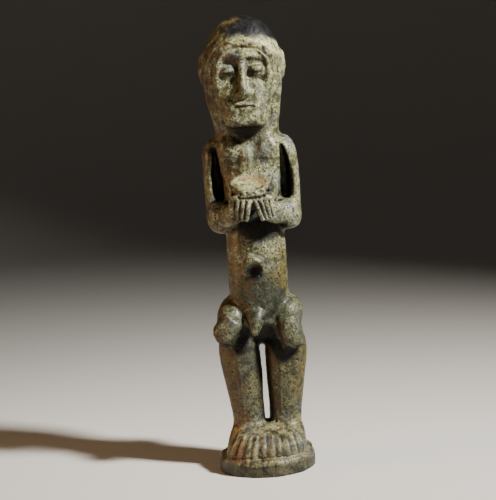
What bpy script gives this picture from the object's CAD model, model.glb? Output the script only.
"""The looks of a carved wooden figure: its fine carving, wear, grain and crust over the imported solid.

Places on the figure are in its own millimetres, as in the solid's source: x across, y back, and z up from
the top of the foot block. The trunk's slight bow is added to x only when a place goes onto the mesh.
"""

import itertools
import math

import bpy
import numpy as np
from mathutils import Matrix, Vector
from mathutils.bvhtree import BVHTree


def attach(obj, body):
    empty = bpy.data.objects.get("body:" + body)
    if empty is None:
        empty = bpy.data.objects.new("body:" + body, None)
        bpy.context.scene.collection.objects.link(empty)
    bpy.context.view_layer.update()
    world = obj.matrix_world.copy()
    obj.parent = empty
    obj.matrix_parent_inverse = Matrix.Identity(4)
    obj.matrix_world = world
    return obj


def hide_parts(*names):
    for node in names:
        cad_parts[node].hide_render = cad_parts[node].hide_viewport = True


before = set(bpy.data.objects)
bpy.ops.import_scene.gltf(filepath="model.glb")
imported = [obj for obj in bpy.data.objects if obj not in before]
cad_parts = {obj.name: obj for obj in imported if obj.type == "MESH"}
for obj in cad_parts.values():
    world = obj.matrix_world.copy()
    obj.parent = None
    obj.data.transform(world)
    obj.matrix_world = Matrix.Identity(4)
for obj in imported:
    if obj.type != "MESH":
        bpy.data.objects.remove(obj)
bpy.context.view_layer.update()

MM = 0.001
BLOCK_TOP = 12  # height of the foot block
OUTSIDE = 120  # far enough from the figure's axis to be clear of its surface
BOW = ((0, 0.0), (22, 2.0), (60, 1.7), (90, 1.0), (112, 1.9), (150, 2.0), (205, 1.7), (250, -0.5), (308, 0.6))
SIDES = (-1, 1)

FINE_VOXEL = 0.55
ROUNDING_PASSES = 8
TRIANGLES = 195_000


# Places

def bow(z):
    """How far the trunk stands to one side at a height."""
    heights, offsets = np.array(BOW).T
    return np.interp(z, heights, offsets)


def to_mesh(points):
    """Metres on the mesh, from the figure's millimetres."""
    points = np.array(points, float).reshape(-1, 3)
    points[:, 0] += bow(points[:, 2])
    points[:, 2] += BLOCK_TOP
    return points * MM


def to_figure(points):
    """The figure's millimetres, from metres on the mesh."""
    points = points / MM
    points[:, 2] -= BLOCK_TOP
    points[:, 0] -= bow(points[:, 2])
    return points


def smooth_rows(rows, step):
    """Rows of numbers, of which the first three are a place, filled in on a smooth curve about step apart."""
    rows = np.array(rows, float)
    padded = np.vstack([2 * rows[0] - rows[1], rows, 2 * rows[-1] - rows[-2]])
    filled = []
    for before, start, end, after in zip(padded, padded[1:], padded[2:], padded[3:]):
        count = max(1, math.ceil(np.linalg.norm((end - start)[:3]) / step))
        for t in np.arange(count) / count:
            filled.append(
                0.5 * (2 * start + (end - before) * t
                       + (2 * before - 5 * start + 4 * end - after) * t ** 2
                       + (3 * start - before - 3 * end + after) * t ** 3)
            )
    filled.append(rows[-1])
    return np.array(filled)


# The mesh as arrays

def mesh_points(mesh):
    points = np.empty(len(mesh.vertices) * 3)
    mesh.vertices.foreach_get("co", points)
    return points.reshape(-1, 3)


def mesh_normals(mesh):
    normals = np.empty(len(mesh.vertices) * 3)
    mesh.vertex_normals.foreach_get("vector", normals)
    return normals.reshape(-1, 3)


def move_to(mesh, points):
    mesh.vertices.foreach_set("co", points.ravel())
    mesh.update()


def baked_down(piece):
    """The piece's mesh with its modifiers applied."""
    graph = bpy.context.evaluated_depsgraph_get()
    mesh = bpy.data.meshes.new_from_object(piece.evaluated_get(graph))
    piece.modifiers.clear()
    piece.data = mesh
    return mesh


def points_and_faces(mesh):
    return [v.co.copy() for v in mesh.vertices], [list(f.vertices) for f in mesh.polygons]


class Solid:
    """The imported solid, for finding places on its surface."""

    def __init__(self, mesh):
        self.tree = BVHTree.FromPolygons(*points_and_faces(mesh))

    def from_front(self, places, lift=0.0):
        """Where lines of sight along +Y meet the surface, for (x, z) places. lift moves them outwards."""
        found = []
        for x, z in places:
            start = Vector(to_mesh([(x, -OUTSIDE, z)])[0])
            hit = self.tree.ray_cast(start, Vector((0, 1, 0)))[0]
            if hit is not None:
                found.append(to_figure(np.array(hit)[None])[0] - (0, lift, 0))
        return np.array(found)

    def round_axis(self, angle_deg, z):
        """Where a level ray towards the figure's axis meets the surface. 0 degrees is the front."""
        angle = math.radians(angle_deg)
        away = Vector((math.sin(angle), -math.cos(angle), 0))
        start = Vector(to_mesh([(0, 0, z)])[0]) + away * OUTSIDE * MM
        hit = self.tree.ray_cast(start, -away)[0]
        return None if hit is None else to_figure(np.array(hit)[None])[0]


# Noise and nearness, for moving points

CELL_KEYS = (73856093, 19349663, 83492791)
SEED_KEY, MIXING_KEY = 40503, 1274126177
SCATTER = 0.42  # how far a cell's centre may lie from its middle, as a share of the cell


def hashed(cells, seed):
    """A fixed number from -1 to 1 for each cell of a lattice, with no pattern from cell to cell."""
    x, y, z = (cells * CELL_KEYS).T
    n = x ^ y ^ z ^ seed * SEED_KEY
    n = (n ^ (n >> 13)) * MIXING_KEY
    return ((n ^ (n >> 16)) & 0xFFFF) / 32767.5 - 1


def eased(t):
    """0 to 1 with level ends."""
    return t * t * (3 - 2 * t)


def lumps(points, size, seed):
    """Smooth noise from -1 to 1 at each point, with lumps about size across. size may differ by axis."""
    cell = points / np.array(size, float)
    low = np.floor(cell).astype(np.int64)
    t = eased(cell - low)
    total = np.zeros(len(points))
    for corner in itertools.product((0, 1), repeat=3):
        share = np.where(corner, t, 1 - t).prod(axis=1)
        total += share * hashed(low + np.array(corner), seed)
    return total


def facets(points, size, seed):
    """The hollows that a gouge leaves, as the distance to the nearest of scattered centres, 0 to 1."""
    cell = points / np.array(size, float)
    low = np.floor(cell).astype(np.int64)
    nearest = np.full(len(points), np.inf)
    for corner in itertools.product((-1, 0, 1), repeat=3):
        home = low + np.array(corner)
        spread = np.stack([hashed(home, seed + axis) for axis in range(3)], axis=1)
        nearest = np.minimum(nearest, ((home + 0.5 + SCATTER * spread - cell) ** 2).sum(axis=1))
    return np.clip(np.sqrt(nearest), 0, 1)


def distance_to(points, path, reach):
    """Distance from each point to a path, or infinity beyond reach."""
    found = np.full(len(points), np.inf)
    for a, b in zip(path[:-1], path[1:]):
        inside = np.all((points > np.minimum(a, b) - reach) & (points < np.maximum(a, b) + reach), axis=1)
        near = points[inside]
        length = max((b - a) @ (b - a), 1e-9)
        along = np.clip((near - a) @ (b - a) / length, 0, 1)
        gap = np.linalg.norm(near - a - along[:, None] * (b - a), axis=1)
        found[inside] = np.minimum(found[inside], gap)
    return found


def nearness(points, path, reach):
    """1 on a path, falling smoothly to 0 at reach from it."""
    return eased(np.clip(1 - distance_to(points, path, reach) / reach, 0, 1))


def ball(points, centre, radii):
    """1 at the centre of an ellipsoid, falling smoothly to 0 at its surface."""
    away = np.sqrt((((points - np.array(centre)) / np.array(radii)) ** 2).sum(axis=1))
    return eased(np.clip(1 - away, 0, 1))


def step_up(values, low, high):
    """0 below low, 1 above high, and a smooth step between them."""
    return eased(np.clip((values - low) / (high - low), 0, 1))


def step_down(values, low, high):
    """1 below low, 0 above high, and a smooth step between them."""
    return 1 - step_up(values, low, high)


# Forms that are cut finer here than in the solid

class Forms:
    """Overlapping closed forms, gathered as points and faces before a remesh makes one skin of them."""

    def __init__(self, mesh):
        self.points, self.faces = points_and_faces(mesh)

    def sweep(self, stations, step=0.7):
        """The space that an ellipsoid passes through. A station is x, y, z and its three radii."""
        sides, rings = 14, 7
        for row in smooth_rows(stations, step):
            first = len(self.points)
            centre, radii = row[:3], row[3:]
            shell = [(0, 0, -1)]
            for ring in range(1, rings):
                lift = math.pi * ring / rings
                shell += [(math.sin(lift) * math.cos(2 * math.pi * n / sides),
                           math.sin(lift) * math.sin(2 * math.pi * n / sides), -math.cos(lift))
                          for n in range(sides)]
            shell.append((0, 0, 1))
            self.points.extend(Vector(p) for p in to_mesh(centre + np.array(shell) * radii))
            last = first + len(shell) - 1
            for n in range(sides):
                after = (n + 1) % sides
                self.faces.append([first, first + 1 + after, first + 1 + n])
                self.faces.append([last, last - sides + n, last - sides + after])
                for ring in range(rings - 2):
                    base = first + 1 + ring * sides
                    self.faces.append([base + n, base + after, base + sides + after, base + sides + n])

    def mesh(self, name):
        made = bpy.data.meshes.new(name)
        made.from_pydata(self.points, [], self.faces)
        return made


FINGERS, FINGER_START, FINGER_PITCH, HANDS_MIDDLE = 4, 2.1, 3.8, -1.1
FINGER_SPREAD = {-1: 2.4, 1: 4.4}
FINGER_DOWN = ((0.6, 180), (0, 174.5), (1.9, 168.3))  # back from the hand's front, and height
FINGER_RADII = ((1.75, 2.1, 1.7), (1.95, 2.5, 2), (1.8, 2.5, 1.9))
HAND_FRONT, HAND_CURVE = -37.4, 0.026


def finger_path(side, n):
    """Three places down the front of a finger. Finger 0 is the one nearest the middle."""
    high_x = FINGER_START + FINGER_PITCH * n
    low_x = high_x + FINGER_SPREAD[side] * (1 - n / FINGERS)
    front = HAND_FRONT + HAND_CURVE * high_x ** 2
    across = (high_x, (high_x + low_x) / 2, low_x)
    return [(side * x + HANDS_MIDDLE, front + back, z) for x, (back, z) in zip(across, FINGER_DOWN)]


def add_fingers(forms):
    for side in SIDES:
        for n in range(FINGERS):
            forms.sweep([(*place, *radii) for place, radii in zip(finger_path(side, n), FINGER_RADII)])


TOE_TIPS = {-1: (3.1, 8.9, 13.6, 19.2, 24.2), 1: (3.4, 8.3, 14.2, 18.9, 24.7)}  # from the middle
TOE_ENDS = {-1: (2.4, 2.0, 2.9, 2.4, 3.2), 1: (2.1, 2.9, 2.3, 3.1, 2.6)}  # heights of the tips
TOE_DOWN = ((0.84, 13.5), (0.94, 8))  # share of the tip's distance from the middle, and height
TOE_WIDTHS = (1.5, 2.1, 2.3)


def toe_path(solid, side, n):
    """Three places along the top of a toe, from the instep to the tip. Toe 0 is the big one."""
    course = (*TOE_DOWN, (1, TOE_ENDS[side][n]))
    return solid.from_front([(side * share * TOE_TIPS[side][n], z) for share, z in course])


def toe_row(solid):
    """The paths of all the toes, from left to right."""
    left, right = ([toe_path(solid, side, n) for n in range(len(TOE_TIPS[side]))] for side in SIDES)
    return left[::-1] + right


def finger_gaps(solid):
    """Paths down the front of each hand, between its fingers."""
    gaps = []
    for side in SIDES:
        for n in range(FINGERS - 1):
            pairs = zip(finger_path(side, n), finger_path(side, n + 1))
            places = [((a[0] + b[0]) / 2, (a[2] + b[2]) / 2) for a, b in pairs]
            gaps.append(smooth_rows(solid.from_front(places), 1.5))
    return gaps


def add_toes(forms, solid):
    row = toe_row(solid)
    for toe in row:
        forms.sweep([(*place, width, 1.3, 1.9) for place, width in zip(toe, TOE_WIDTHS)])
    for toe, after in zip(row, row[1:]):
        between = (toe + after) / 2 + (0, 0.9, 0)
        forms.sweep([(*place, 2.1, 1.6, 1.9) for place in between])


EYE_X, EYE_Z, MOUTH_Z = 9.8, 268.8, 243.9
EYE_BALL = ((-5.2, -23.4, -0.5, 1.0, 1.8, 1.3), (-2, -25.2, 0, 2.0, 2.2, 2.9),
            (1.6, -25.0, 0.1, 2.0, 2.2, 3.0), (5.2, -22.4, -0.5, 1.0, 1.8, 1.3))
EYE_SLIT = ((EYE_X - 5.4, EYE_Z - 1.2), (EYE_X, EYE_Z - 2.0), (EYE_X + 5.6, EYE_Z - 1.4))
MOUTH_LINE = tuple((x, MOUTH_Z + rise) for x, rise in ((-6.4, 0), (-3, 0.2), (0, 0), (3, 0.2), (6.4, 0)))
NOSTRIL = (1.7, -31.5, 251.2)
EAR_HOLLOW = ((31, 1, 279), (31, 4, 273), (31, 2, 267))
HOOD_LINE = ((15.2, 233.5), (17.6, 238), (19.2, 246), (20.4, 258), (20.3, 270), (17.4, 277.4), (10.8, 282.2),
             (0, 284.2))
NAVEL = ((-8.8, -21, 131, 1.4, 3.2, 1.8), (-8.4, -23.6, 136, 1.8, 4, 2.2), (-3.4, -25, 139.2, 2.2, 4.2, 2.1),
         (2.2, -23.4, 136.6, 1.7, 3.8, 2.1), (3, -21.5, 132.5, 1.2, 2.6, 1.6))
KNEE_EDGES = (((-33, 88), (-30.6, 84.4), (-27, 81.4), (-24.4, 79.6)),
              ((16.5, 80), (20, 77), (23.6, 76), (27, 78.6)))
SHIN_RIDGES = (((-18.5, 74), (-17.4, 58), (-16.3, 42), (-16, 28)),
               ((13.2, 68), (11.6, 52), (10.4, 36), (10.6, 27)))
RIDGE_RISE, RIDGE_DEPTH = 0.5, 1.4

BOWL_AXIS, BOWL_TIP_DEG, BOWL_RADIUS, BOWL_LIP = (-1.8, -23, 186.4), 26, 13.5, 5.2
BOWL_STEPS = 36
BARE_RIM, NOTCHED_RIM = slice(0, 13), slice(20, 36, 2)  # parts of the ring
UNDER_LIP = ((-14, 184.4), (-10, 182.9), (-4, 182.2), (2, 182.4), (7, 183.6), (10.5, 185.6))


def bowl_ring(radius, height):
    """A ring of places round the bowl, at a height over its middle, tipped as the bowl is."""
    turn = Matrix.Rotation(math.radians(BOWL_TIP_DEG), 3, "X")
    level = [(radius * math.cos(a), radius * math.sin(a), height)
             for a in np.linspace(0, 2 * math.pi, BOWL_STEPS + 1)]
    return np.array([Vector(BOWL_AXIS) + turn @ Vector(place) for place in level])


def add_ridge(forms, solid, places, width):
    """A low raised line over the front of the solid, through (x, z) places."""
    middle = solid.from_front(places, lift=RIDGE_RISE - RIDGE_DEPTH)
    forms.sweep([(*place, width, RIDGE_DEPTH, width) for place in middle])


def add_edges(forms, solid):
    """The crisp edges of the big forms: navel, knees, shins and the bowl's lip."""
    forms.sweep(NAVEL)
    for places in KNEE_EDGES:
        add_ridge(forms, solid, places, width=1.2)
    for places in SHIN_RIDGES:
        add_ridge(forms, solid, places, width=1.3)
    forms.sweep([(*place, 1.1, 1.1, 1.0) for place in bowl_ring(BOWL_RADIUS - 0.6, BOWL_LIP)])


def add_eyes(forms):
    """The calm mask's closed, almond-shaped eyes."""
    for side in SIDES:
        forms.sweep([(side * (EYE_X + x), y, EYE_Z + z, *radii) for x, y, z, *radii in EYE_BALL], step=0.5)


# Cuts and damage

def cut(points, normals, path, reach, depth):
    """Moves points inwards near a path, deepest on it."""
    points -= normals * (depth * nearness(points, path, reach))[:, None]


def cut_lines(points, normals, solid):
    """The finest cuts, between the fingers, in the face, along the hood's edge and on the bowl."""
    for gap in finger_gaps(solid):
        cut(points, normals, gap, reach=1.0, depth=1.1)
    for side in SIDES:
        slit = smooth_rows([(side * x, -27, z) for x, z in EYE_SLIT], 0.7)
        cut(points, normals, slit, reach=1.5, depth=0.7)
        drill(points, normals, NOSTRIL * np.array((side, 1, 1)), radius=1.4, depth=1.0)
        ear = smooth_rows(EAR_HOLLOW * np.array((side, 1, 1)), 1)
        cut(points, normals, ear, reach=2.6, depth=1.3)
        hood = solid.from_front([(side * x, z) for x, z in HOOD_LINE])
        cut(points, normals, smooth_rows(hood, 1.5), reach=1.8, depth=0.9)
    cut(points, normals, smooth_rows(solid.from_front(MOUTH_LINE), 1), reach=1.2, depth=1.2)
    cut(points, normals, bowl_ring(BOWL_RADIUS - 1.4, BOWL_LIP - 2.9), reach=1.5, depth=1.3)
    cut(points, normals, smooth_rows(solid.from_front(UNDER_LIP), 1), reach=1.4, depth=1.3)


FACE_BALL = (0, -30, 260), (24, 18, 34)
WORN_KNEE = (-35, -11, 86), (7, 14, 8)


def wear(points, normals):
    """The unevenness of hand cutting, the pitted crust over it, and a worn knee."""
    low_relief = 0.55 * lumps(points, (17, 17, 26), 3) + 0.28 * lumps(points, (8, 8, 12), 5)
    gouge = 0.34 * (facets(points, (8, 8, 13), 11) - 0.45)
    fibres = 0.10 * lumps(points, (1.3, 1.3, 22), 17)
    crust = 0.12 * lumps(points, 2.2, 23) + 0.09 * lumps(points, 1.2, 29)
    fade = 1 - 0.7 * ball(points, *FACE_BALL)
    points += normals * (fade * (low_relief + gouge) + fibres + crust)[:, None]
    points[:, 0] += 2.6 * ball(points, *WORN_KNEE)


def drill(points, normals, centre, radius, depth):
    """A small round hole, such as a beetle's."""
    gap = np.linalg.norm(points - centre, axis=1)
    points -= normals * (depth * step_down(gap, 0.55 * radius, radius))[:, None]


WORM_HOLES, BLOCK_CHIPS = 46, 11
FACE_HALF_DEG, FACE_BOTTOM, FACE_TOP = 45, 232, 286
SPLITS = (((-3.3, -2.5), (-3.9, -7), (-3.7, -11.8), 0.5), ((4.9, -3), (4.4, -7.5), (4.8, -11.8), 0.65))


def damage(points, normals, solid):
    """Beetle holes, drying splits in the foot block, chips on its rim, and notches in the bowl's lip."""
    random = np.random.default_rng(7)
    for angle, z in zip(random.uniform(-180, 180, WORM_HOLES), random.uniform(10, 296, WORM_HOLES)):
        if abs(angle) < FACE_HALF_DEG and FACE_BOTTOM < z < FACE_TOP:
            continue
        centre = solid.round_axis(angle, z)
        if centre is not None:
            drill(points, normals, centre, random.uniform(0.75, 1.05), random.uniform(0.8, 1.4))
    for *places, depth in SPLITS:
        cut(points, normals, smooth_rows(solid.from_front(places), 1.5), 0.8, depth)
    for angle in random.uniform(-180, 180, BLOCK_CHIPS):
        centre = solid.round_axis(angle, random.uniform(-3.5, -1))
        if centre is not None:
            scoop = ball(points, centre, random.uniform(2.2, 5.0, 3))
            points -= normals * (0.9 * scoop)[:, None]
    for place in bowl_ring(BOWL_RADIUS, BOWL_LIP)[NOTCHED_RIM]:
        drill(points, normals, place + random.uniform(-0.7, 0.7, 3), random.uniform(1.1, 2.0), 0.8)


# The carving as one mesh

def one_skin(name, mesh, passes):
    """A piece whose overlapping forms are remeshed into one close skin and softened."""
    piece = bpy.data.objects.new(name, mesh)
    bpy.context.scene.collection.objects.link(piece)
    remesh = piece.modifiers.new("one_skin", "REMESH")
    remesh.mode = "VOXEL"
    remesh.voxel_size = FINE_VOXEL * MM
    soften = piece.modifiers.new("soften", "SMOOTH")
    soften.factor = 0.5
    soften.iterations = passes
    return piece


def carved_skin(solid_mesh, solid):
    """The solid without its facets, joined in one skin with the finer forms."""
    rounded = one_skin("rounded", solid_mesh, ROUNDING_PASSES)
    forms = Forms(baked_down(rounded))
    bpy.data.objects.remove(rounded)
    add_fingers(forms)
    add_toes(forms, solid)
    add_edges(forms, solid)
    add_eyes(forms)
    return one_skin("carving", forms.mesh("carving"), 1)


def level_underside(points):
    """Keeps the foot block's underside flat, with nothing below it."""
    points[:, 2] = np.maximum(points[:, 2], -BLOCK_TOP)


OPEN_REACH, OPEN_RAYS, OFF_SURFACE = 22.0, 10, 0.5


def openness(mesh):
    """For each vertex, the share of rays out of the surface that meet nothing within reach."""
    tree = BVHTree.FromPolygons(*points_and_faces(mesh))
    points, normals = mesh_points(mesh), mesh_normals(mesh)
    random = np.random.default_rng(5)
    spread = random.normal(size=(OPEN_RAYS, 3))
    spread /= np.linalg.norm(spread, axis=1)[:, None]
    starts = points + normals * (OFF_SURFACE * MM)
    free = np.zeros(len(points))
    for direction in spread:
        aims = normals * 1.05 + direction
        free += [tree.ray_cast(start, aim, OPEN_REACH * MM)[0] is None
                 for start, aim in zip(map(Vector, starts), map(Vector, aims))]
    return free / OPEN_RAYS


def spread_out(mesh, values, rounds):
    """Values averaged over neighbouring vertices, a number of times."""
    ends = np.empty(len(mesh.edges) * 2, np.int64)
    mesh.edges.foreach_get("vertices", ends)
    a, b = ends.reshape(-1, 2).T
    counts = np.bincount(a, minlength=len(values)) + np.bincount(b, minlength=len(values)) + 1
    for _ in range(rounds):
        total = values + np.bincount(a, values[b], len(values)) + np.bincount(b, values[a], len(values))
        values = total / counts
    return values


def hair_edge(x):
    """Height of the dark crown's lower edge at a place across the forehead."""
    return 291.5 - 0.006 * x ** 2


BETWEEN_HANDS_TOP, BETWEEN_HANDS_SLOPE = 181, 0.31  # a wedge that widens downwards
BELOW_HANDS = (5, -16, 161), (24, 15, 13)
NAVEL_SHADE = (-1.6, -22, 129.5), (7, 8, 7.5)
CROTCH = (2, -6, 86), (12, 14, 13)
LEG_GAP = (0, 0, 50), (8, 14, 40)
THROAT = (0, -20, 226), (20, 14, 11)
UNDER_BREASTS = ((6, -14, 208), (10, 14, 8)), ((-13.5, -14, 205), (9, 14, 9))
UNDER_KNEES = (((-12, -7, 93), (-12, -9, 84), (-15.5, -10, 75)),
               ((9, -10, 77), (14, -11, 69), (21, -10.5, 72.5)))


def hollow_soot(points, normals):
    """The deep hollows that stayed black."""
    x, y, z = points.T
    wedge = BETWEEN_HANDS_SLOPE * (BETWEEN_HANDS_TOP - z) - np.abs(x + 0.1)
    soot = 2 * step_up(wedge, -0.2, 0.8) * step_up(z, 158, 162) * step_up(-y, 8, 12)
    soot *= step_down(np.abs(x), 4, 5.5)
    soot += 4 * ball(points, *BELOW_HANDS) * step_up(y, -30, -26)
    soot += 3.4 * ball(points, *NAVEL_SHADE)
    soot += 4 * ball(points, *CROTCH) * step_up(z, 74, 78) * step_up(y, -17, -13)
    soot += 2.6 * ball(points, *THROAT) + 1.2 * ball(points, *LEG_GAP)
    for shadow in UNDER_KNEES:
        soot += 2.4 * nearness(points, smooth_rows(shadow, 2), 6.5)
    faces_down = step_up(-normals[:, 2], 0.35, 0.7)
    below_knees = step_up(z, 72, 76) * step_down(z, 86, 89)
    soot += faces_down * below_knees * step_up(np.abs(x), 12, 15) * step_up(-y, 7, 9)
    patchy = 0.55 + 0.5 * lumps(points, 2.6, 59)
    for hollow in UNDER_BREASTS:
        soot += 1.5 * patchy * ball(points, *hollow)
    return soot


def line_soot(points, solid):
    """The dark lines of the eyes, the mouth, the bowl's lip, the fingers and the toes."""
    soot = np.zeros(len(points))
    for side in SIDES:
        slit = smooth_rows([(side * x, -26.6, z) for x, z in EYE_SLIT], 0.7)
        soot += 1.2 * nearness(points, slit, 1.5)
    soot += nearness(points, smooth_rows(solid.from_front(MOUTH_LINE), 1), 1.5)
    soot += 1.3 * nearness(points, smooth_rows(solid.from_front(UNDER_LIP), 1) + (0, 1, 0), 1.9)
    for gap in finger_gaps(solid):
        soot += 0.9 * nearness(points, gap + (0, 1, 0), 1.5)
    row = toe_row(solid)
    for toe, after in zip(row, row[1:]):
        between = smooth_rows((toe + after) / 2 + (0, -0.8, 0), 1.5)
        soot += 0.8 * nearness(points, between, 2.2)
    return soot


EAR = (30, 3, 273), (9, 16, 18)
BOWL_TOP = (-1.8, -26, 193), (19, 19, 11)
BARE_CHIP = (7.5, -33, 189), (6, 6, 5)
WAIST = (20, -10, 132), (14, 22, 36)
BELLY = (3, -20, 113), (28, 18, 24)
LIGHT_FROM = (0.8, -0.2, 0.35)


def head_masks(points):
    """The dark crown over the forehead, and the pale band just below it."""
    x, y, z = points.T
    over_edge = z - hair_edge(x)
    ears = np.maximum(*(ball(points, EAR[0] * np.array((side, 1, 1)), EAR[1]) for side in SIDES))
    crown = step_up(over_edge + 1.6 * lumps(points, 9, 41), -1.5, 3.0) * (1 - np.clip(4 * ears, 0, 1))
    band = step_up(over_edge, -12, -7) * (1 - crown) * step_up(x, -24, 14) * step_up(z, 270, 280)
    return {"crown": crown, "pale_band": band}


def bowl_masks(points, facing_up):
    """The bowl's pale top, and the bare wood where its rim broke."""
    rim = nearness(points, bowl_ring(BOWL_RADIUS - 3.6, BOWL_LIP - 1)[BARE_RIM], 5)
    raw = np.maximum(rim, 0.8 * ball(points, *BARE_CHIP)) * step_up(facing_up, 0.3, 0.7)
    top = step_up(ball(points, *BOWL_TOP), 0.15, 0.4) * step_up(facing_up, 0.45, 0.8)
    return {"raw_wood": raw, "bowl_top": top}


def growth_masks(points):
    """Dusty feet, olive flanks and shins, moss on belly and shins, and the foot block's darker side."""
    x, y, z = points.T
    feet = step_down(z + 3 * lumps(points, 8, 43), 16, 27) * step_up(z + lumps(points, 6, 44), -4, -1)
    outer = step_up(np.abs(x) + 3 * lumps(points, 8, 55), 17, 28)
    shins = step_down(z, 66, 84) * step_up(z, 16, 26) * outer
    waist = ball(points + 6 * lumps(points, 9, 53)[:, None], *WAIST)
    olive = shins + waist + 0.35 * step_down(z, 60, 90)
    mossy = 2.0 * ball(points, *BELLY) + 0.8 * step_up(z, 20, 28) * step_down(z, 70, 84)
    mossy += 0.65 * step_up(z, 60, 75) * step_down(z, 96, 180)
    block_side = step_down(z + lumps(points, 4, 51), -4.5, -2.5)
    return {"dusty_feet": feet, "olive": olive, "mossy": mossy, "block_side": block_side}


def paint_masks(mesh, solid):
    """Where each part of the finish lies, as numbers on the vertices from 0 to 1."""
    points, normals = to_figure(mesh_points(mesh)), mesh_normals(mesh)
    to_light = normals @ LIGHT_FROM + 0.012 * points[:, 0] + 0.3 * lumps(points, 12, 47)
    masks = {
        **head_masks(points),
        **bowl_masks(points, normals[:, 2]),
        **growth_masks(points),
        "open_air": spread_out(mesh, openness(mesh), 2),
        "lit_side": step_up(to_light, -0.5, 0.7),
        "soot": hollow_soot(points, normals) + line_soot(points, solid),
    }
    for name, values in masks.items():
        layer = mesh.attributes.new(name, "FLOAT", "POINT")
        layer.data.foreach_set("value", np.clip(values, 0, 1).astype(np.float32))


def carving():
    """The whole figure, finely carved."""
    solid_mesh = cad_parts["figure"].data.copy()
    solid = Solid(solid_mesh)
    piece = carved_skin(solid_mesh, solid)
    mesh = baked_down(piece)
    normals = mesh_normals(mesh)
    points = to_figure(mesh_points(mesh))
    cut_lines(points, normals, solid)
    damage(points, normals, solid)
    wear(points, normals)
    level_underside(points)
    move_to(mesh, to_mesh(points))
    thin = piece.modifiers.new("thin_out", "DECIMATE")
    thin.ratio = min(1, TRIANGLES / (2 * len(mesh.polygons)))
    thin.use_collapse_triangulate = True
    mesh = baked_down(piece)
    points = to_figure(mesh_points(mesh))
    level_underside(points)
    move_to(mesh, to_mesh(points))
    mesh.shade_smooth()
    paint_masks(mesh, solid)
    return piece


# Shader nodes as sums

class Wire:
    """A shader socket that can be used in sums. Each operator adds the Math node that works it out."""

    def __init__(self, tree, socket):
        self.tree, self.socket = tree, socket

    def math(self, operation, *values):
        return self.tree.add("ShaderNodeMath", {"operation": operation}, dict(enumerate(values)))

    def __add__(self, other):
        return self.math("ADD", self, other)

    def __sub__(self, other):
        return self.math("SUBTRACT", self, other)

    def __rsub__(self, other):
        return self.math("SUBTRACT", other, self)

    def __mul__(self, other):
        return self.math("MULTIPLY", self, other)


class Tree:
    """A material's nodes."""

    def __init__(self, name):
        self.material = bpy.data.materials.new(name)
        self.material.use_nodes = True
        self.nodes = self.material.node_tree.nodes
        self.links = self.material.node_tree.links
        self.shader = self.nodes["Principled BSDF"]

    def add(self, kind, settings, values, output=0):
        """A node of that kind, with its settings made and its sockets given values or links."""
        node = self.nodes.new(kind)
        for name, value in settings.items():
            setattr(node, name, value)
        for socket, value in values.items():
            self.give(node.inputs[socket], value)
        return Wire(self, node.outputs[output])

    def give(self, socket, value):
        if isinstance(value, Wire):
            self.links.new(value.socket, socket)
        else:
            socket.default_value = value

    def mix(self, share, low, high):
        """A colour between two colours. The numbers are those of the Mix node's sockets for colours."""
        return self.add("ShaderNodeMix", {"data_type": "RGBA"}, {0: share, 6: low, 7: high}, output=2)

    def ramp(self, value, low, high):
        """0 below low, 1 above high, straight between them."""
        values = {"Value": value, "From Min": low, "From Max": high}
        return self.add("ShaderNodeMapRange", {"clamp": True}, values)

    def noise(self, place, scale, detail, roughness):
        values = {"Vector": place, "Scale": scale, "Detail": detail, "Roughness": roughness}
        return self.add("ShaderNodeTexNoise", {}, values)

    def mask(self, name):
        return self.add("ShaderNodeAttribute", {"attribute_name": name}, {}, output="Fac")


def rgb(red, green, blue):
    """A colour from the 0 to 255 numbers that a screen shows."""
    def light(value):
        value = value / 255
        return value / 12.92 if value <= 0.04045 else ((value + 0.055) / 1.055) ** 2.4
    return (light(red), light(green), light(blue), 1)


class Grain:
    """The noises and masks that the coats of colour share."""

    def __init__(self, tree):
        place = tree.add("ShaderNodeTexCoord", {}, {}, output="Object")
        fibre_place = tree.add("ShaderNodeMapping", {}, {"Vector": place, "Scale": (1, 1, 0.06)})
        pits = tree.add("ShaderNodeTexVoronoi", {}, {"Vector": place, "Scale": 430})
        self.blotch = tree.noise(place, 38, 5, 0.62)
        self.sheen = tree.noise(place, 62, 4, 0.6)
        self.fine_blotch = tree.noise(place, 170, 6, 0.7)
        self.speckle = tree.noise(place, 640, 3, 0.7)
        self.dust = tree.noise(place, 1100, 5, 0.8)
        self.streak = tree.noise(fibre_place, 260, 4, 0.6)
        self.fibre = tree.noise(fibre_place, 900, 4, 0.6)
        self.open_air = tree.mask("open_air")
        self.lit_side = tree.mask("lit_side")
        self.crown = tree.mask("crown")
        self.soot = tree.mask("soot")
        self.pitted = (tree.ramp(pits, 0.27, 0.15) * tree.ramp(self.fine_blotch, 0.47, 0.54)
                       * tree.ramp(self.blotch, 0.42, 0.50))
        self.cover = tree.ramp(self.blotch * 0.35 + self.fine_blotch * 0.65 + self.open_air * 0.14
                               + self.lit_side * 0.24, 0.58, 0.73)


def brown_wood(tree, grain):
    brown = tree.mix(tree.ramp(grain.fibre, 0.3, 0.7), rgb(24, 16, 6), rgb(76, 53, 23))
    return tree.mix(tree.ramp(grain.blotch, 0.46, 0.62) * 0.7, brown, rgb(102, 74, 32))


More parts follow.
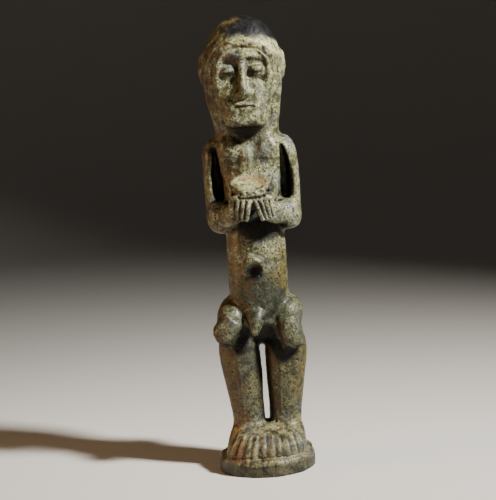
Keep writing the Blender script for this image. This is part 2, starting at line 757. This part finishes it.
def dusty_crust(tree, grain):
    """The grey-green crust, with pale flecks, moss and ochre."""
    fine = grain.fine_blotch
    crust = tree.mix(tree.ramp(fine, 0.38, 0.60), rgb(36, 36, 20), rgb(116, 116, 82))
    crust = tree.mix(tree.ramp(grain.streak, 0.46, 0.6) * 0.5, crust, rgb(86, 84, 54))
    crust = tree.mix(tree.ramp(grain.sheen, 0.50, 0.62) * 0.8, crust, rgb(86, 93, 92))
    fleck = tree.ramp(grain.dust, 0.50, 0.60) * tree.ramp(fine, 0.42, 0.56)
    crust = tree.mix(fleck * 0.85, crust, rgb(192, 192, 150))
    moss = tree.mix(tree.ramp(fine, 0.40, 0.62), rgb(8, 10, 6), rgb(50, 55, 36))
    crust = tree.mix(tree.mask("mossy") * 0.9, crust, moss)
    ochre = tree.mask("olive") * tree.ramp(grain.blotch, 0.42, 0.54) * tree.ramp(fine, 0.40, 0.55)
    return tree.mix(ochre, crust, rgb(86, 72, 22))


def crown_wood(tree, grain):
    """The blackened crown, olive where it turns away from the light."""
    black = tree.mix(tree.ramp(grain.streak * 0.6 + grain.fine_blotch * 0.4, 0.46, 0.60),
                     rgb(8, 10, 13), rgb(40, 38, 34))
    olive = tree.mix(tree.ramp(grain.streak, 0.40, 0.62), rgb(38, 26, 12), rgb(104, 92, 56))
    return tree.mix(tree.ramp(grain.blotch - grain.lit_side * 0.45, 0.26, 0.40), black, olive)


def dusty_feet(tree, grain):
    feet = tree.mix(tree.ramp(grain.fine_blotch, 0.40, 0.58), rgb(24, 20, 11), rgb(128, 122, 90))
    feet = tree.mix(tree.ramp(grain.sheen, 0.52, 0.64) * 0.7, feet, rgb(74, 76, 72))
    feet = tree.mix((1 - grain.lit_side) * tree.ramp(grain.blotch, 0.44, 0.56), feet, rgb(98, 66, 30))
    return tree.mix(tree.ramp(grain.speckle, 0.54, 0.62) * 0.7, feet, rgb(30, 22, 12))


def block_wood(tree, grain):
    return tree.mix(tree.ramp(grain.fine_blotch, 0.42, 0.60), rgb(16, 13, 7), rgb(68, 63, 42))


def bowl_crust(tree, grain):
    bowl = tree.mix(tree.ramp(grain.fine_blotch, 0.42, 0.56), rgb(66, 62, 36), rgb(156, 154, 112))
    return tree.mix(grain.pitted * 0.8, bowl, rgb(24, 18, 10))


def bare_wood(tree, grain):
    return tree.mix(tree.ramp(grain.fibre, 0.35, 0.65), rgb(88, 62, 38), rgb(146, 114, 78))


def coats(tree, grain):
    """The finish's colour, from the wood up to the soot."""
    fine = grain.fine_blotch
    skin = tree.mix(grain.cover, brown_wood(tree, grain), dusty_crust(tree, grain))
    skin = tree.mix(tree.mask("pale_band") * tree.ramp(fine, 0.36, 0.56) * 0.8, skin, rgb(196, 190, 138))
    skin = tree.mix(tree.ramp(grain.speckle, 0.54, 0.60) * 0.85, skin, rgb(14, 11, 6))
    skin = tree.mix(grain.pitted, skin, rgb(8, 6, 4))
    skin = tree.mix(grain.crown, skin, crown_wood(tree, grain))
    dust = tree.mask("dusty_feet") * tree.ramp(fine, 0.34, 0.5) * 0.85
    skin = tree.mix(dust, skin, dusty_feet(tree, grain))
    skin = tree.mix(tree.mask("block_side") * 0.95, skin, block_wood(tree, grain))
    skin = tree.mix(tree.mask("bowl_top") * 0.9, skin, bowl_crust(tree, grain))
    skin = tree.mix(tree.mask("raw_wood") * tree.ramp(fine, 0.40, 0.50), skin, bare_wood(tree, grain))
    clean = tree.ramp(grain.open_air, 0.18, 0.70) * (1 - grain.soot * 0.94)
    return tree.mix(clean, rgb(6, 4, 2), skin)


def aged_wood():
    """Dark brown wood with a dusty grey-green crust, worn and blackened in places."""
    tree = Tree("aged_wood")
    grain = Grain(tree)
    height = grain.speckle * 0.4 + grain.fine_blotch * 0.6 + grain.fibre * 0.3 + grain.pitted * -0.6
    relief = {"Strength": 0.9, "Distance": 0.0011, "Height": height}
    inputs = {
        "Base Color": coats(tree, grain),
        "Roughness": 0.58 - grain.crown * 0.2 - tree.ramp(grain.cover, 0.6, 0.0) * 0.10,
        "Normal": tree.add("ShaderNodeBump", {}, relief, output="Normal"),
        "Coat Weight": (grain.crown * 0.5 + 0.3) * (1 - grain.soot) * (1 - grain.pitted),
        "Coat Roughness": 0.36,
        "Specular IOR Level": 0.22,
    }
    for name, value in inputs.items():
        tree.give(tree.shader.inputs[name], value)
    return tree.material


# The studio

def plain(name, colour, roughness):
    tree = Tree(name)
    tree.shader.inputs["Base Color"].default_value = colour
    tree.shader.inputs["Roughness"].default_value = roughness
    return tree.material


def backdrop():
    """A pale round floor that curves up into a wall all round, open at the top."""
    flat, turn, high, sides = 1.9, 1.1, 3.6, 96
    profile = [(0.35, 0), (0.9, 0), (flat, 0)]
    profile += [(flat + turn * math.sin(a), turn * (1 - math.cos(a)))
                for a in np.linspace(0.12, math.pi / 2, 14)]
    profile.append((flat + turn, high))
    turns = np.linspace(0, 2 * math.pi, sides, endpoint=False)
    points = [(r * math.cos(a), r * math.sin(a), z) for r, z in profile for a in turns]
    faces = []
    for row in range(len(profile) - 1):
        low, up = row * sides, (row + 1) * sides
        for n in range(sides):
            after = (n + 1) % sides
            faces.append([low + n, up + n, up + after, low + after])
    faces.append(range(sides))
    mesh = bpy.data.meshes.new("backdrop")
    mesh.from_pydata(points, [], faces)
    mesh.shade_smooth()
    mesh.materials.append(plain("paper", rgb(206, 202, 196), 0.9))
    made = bpy.data.objects.new("backdrop", mesh)
    bpy.context.scene.collection.objects.link(made)


def lamp(name, place, aim, size, power, spread_deg, colour):
    light = bpy.data.lights.new(name, "AREA")
    light.size = size
    light.energy = power
    light.spread = math.radians(spread_deg)
    light.color = colour
    made = bpy.data.objects.new(name, light)
    made.location = place
    made.rotation_euler = (Vector(aim) - Vector(place)).to_track_quat("-Z", "Y").to_euler()
    bpy.context.scene.collection.objects.link(made)


CAMERA_PLACE = Vector((0.0, -0.9, 0.236))
CAMERA_AIM = Vector((-0.0042, 0.0, 0.156))
CAMERA_ROLL_DEG = 3.75
CAMERA_LENS = 91.9


def camera():
    """A camera at the photo's viewing angle, rolled as there."""
    made = bpy.data.objects.new("camera", bpy.data.cameras.new("camera"))
    made.data.lens = CAMERA_LENS
    look = (CAMERA_AIM - CAMERA_PLACE).to_track_quat("-Z", "Y").to_matrix().to_4x4()
    roll = Matrix.Rotation(math.radians(-CAMERA_ROLL_DEG), 4, "Z")
    made.matrix_world = Matrix.Translation(CAMERA_PLACE) @ look @ roll
    bpy.context.scene.collection.objects.link(made)
    bpy.context.scene.camera = made


def studio():
    world = bpy.data.worlds.new("studio")
    world.use_nodes = True
    background = world.node_tree.nodes["Background"]
    background.inputs["Color"].default_value = (0.80, 0.79, 0.77, 1)
    background.inputs["Strength"].default_value = 0.06
    bpy.context.scene.world = world
    lamp("key", place=(0.86, -0.58, 0.96), aim=(0, 0, 0.17), size=0.14, power=8.6, spread_deg=70,
         colour=(1.0, 0.98, 0.93))
    lamp("warm_side", place=(-0.95, -0.15, 0.30), aim=(0, 0, 0.15), size=0.3, power=0.85, spread_deg=70,
         colour=(1.0, 0.64, 0.32))
    backdrop()
    camera()


figure = carving()
figure.data.materials.append(aged_wood())
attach(figure, "root")
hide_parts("figure")
studio()
